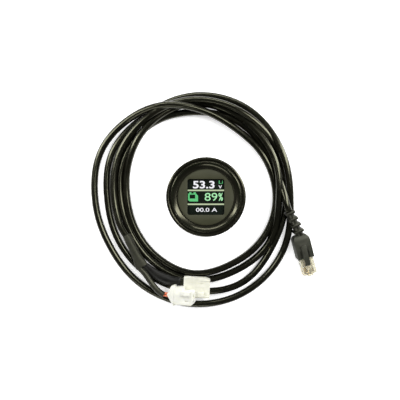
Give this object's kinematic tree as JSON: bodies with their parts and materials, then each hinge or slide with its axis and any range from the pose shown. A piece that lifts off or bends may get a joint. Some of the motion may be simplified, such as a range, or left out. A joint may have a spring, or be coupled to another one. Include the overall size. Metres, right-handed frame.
{
  "type": "panel battery monitor gauge with data lead",
  "caption": "Round panel-mount battery gauge with a square colour display, clamped by a threaded ring nut, with its coiled data lead.",
  "frame": {"origin": "middle of the rear cover's outer face, on the gauge's axis, which is the surface the gauge and its lead lie on", "axes": "+Z along the gauge's axis, out of the display; +Y towards the top of the display's picture; +X to the picture's right"},
  "size_m": [0.1939, 0.1864, 0.044],
  "materials": {
    "bezel_black": "polished black moulding",
    "body_black": "fine satin black moulding",
    "face_olive": "matt dark olive plate",
    "seal_rubber": "soft black rubber",
    "clear_pane": "clear pane",
    "display_glass": "near-black liquid crystal panel",
    "white_frame": "white reflector moulding",
    "flex_film": "orange polyimide film",
    "board": "green solder mask",
    "chip_black": "matt black encapsulant",
    "tinned": "bright can",
    "steel": "zinc plated",
    "gold_contact": "gold plated contact",
    "cable_black": "glossy black PVC jacket",
    "boot_black": "soft matt black PVC",
    "shrink_grey": "matt dark grey heat-shrink",
    "clear_plug": "clear polycarbonate",
    "white_nylon": "white nylon",
    "natural_nylon": "natural translucent nylon",
    "wire_orange": "orange wire insulation"
  },
  "bodies": {
    "gauge": {"alarm_buzzer": "chip_black", "barrel_housing": "body_black", "bezel_ring": "bezel_black", "board_screw_1": "steel", "board_screw_2": "steel", "board_screw_3": "steel", "board_screw_4": "steel", "cover_screw_1": "steel", "cover_screw_2": "steel", "cover_screw_3": "steel", "cover_screw_4": "steel", "display_backlight": "white_frame", "display_carrier": "body_black", "display_flex": "flex_film", "display_glass": "display_glass", "face_plate": "face_olive", "flex_socket": "white_frame", "lead_coil": "cable_black", "lead_split": "shrink_grey", "lead_tail": "cable_black", "main_board": "board", "narrow_branch": "cable_black", "narrow_housing": "white_nylon", "narrow_socket_pins": "gold_contact", "narrow_socket_shroud": "body_black", "panel_gasket": "seal_rubber", "plug_body": "clear_plug", "plug_boot": "boot_black", "plug_contacts": "gold_contact", "power_coil": "chip_black", "processor_chip": "chip_black", "rear_cover": "body_black", "rear_seal": "seal_rubber", "signal_wire_1": "wire_orange", "signal_wire_2": "wire_orange", "supply_capacitor": "tinned", "wide_branch": "cable_black", "wide_housing": "natural_nylon", "wide_socket_pins": "gold_contact", "wide_socket_shroud": "body_black", "window_pane": "clear_pane"},
    "clamp": {"clamp_washer": "steel"},
    "nut": {"ring_nut": "body_black"},
    "plug_latch_arm": {"plug_latch": "clear_plug"},
    "wide_latch_arm": {"wide_latch": "natural_nylon"},
    "narrow_latch_arm": {"narrow_latch": "white_nylon"}
  },
  "joints": [
    {"name": "clamp_slide", "type": "slide", "parent": "gauge", "child": "clamp", "axis": [0, 0, 1], "range_m": [-0.012, 0.009]},
    {"name": "nut_turn", "type": "hinge", "parent": "clamp", "child": "nut", "pos_m": [0, 0, 0.0199], "axis": [0, 0, 1], "range_deg": [-2160, 1620]},
    {"name": "plug_latch_press", "type": "hinge", "parent": "gauge", "child": "plug_latch_arm", "pos_m": [0.08932, -0.06433, 0.00753], "axis": [-0.961, -0.2766, 0], "range_deg": [0, 4], "stiffness_Nm_per_rad": 0.05},
    {"name": "wide_latch_press", "type": "hinge", "parent": "gauge", "child": "wide_latch_arm", "pos_m": [-0.00533, -0.08087, 0.0138], "axis": [-0.0436, -0.999, 0], "range_deg": [0, 10], "stiffness_Nm_per_rad": 0.02},
    {"name": "narrow_latch_press", "type": "hinge", "parent": "gauge", "child": "narrow_latch_arm", "pos_m": [-0.01618, -0.07814, 0.02217], "axis": [0.0349, -0.9994, 0], "range_deg": [0, 10], "stiffness_Nm_per_rad": 0.02}
  ],
  "couplings": [
    {"joint": "nut_turn", "follows": "clamp_slide", "rad_per_m": 3141.6}
  ]
}
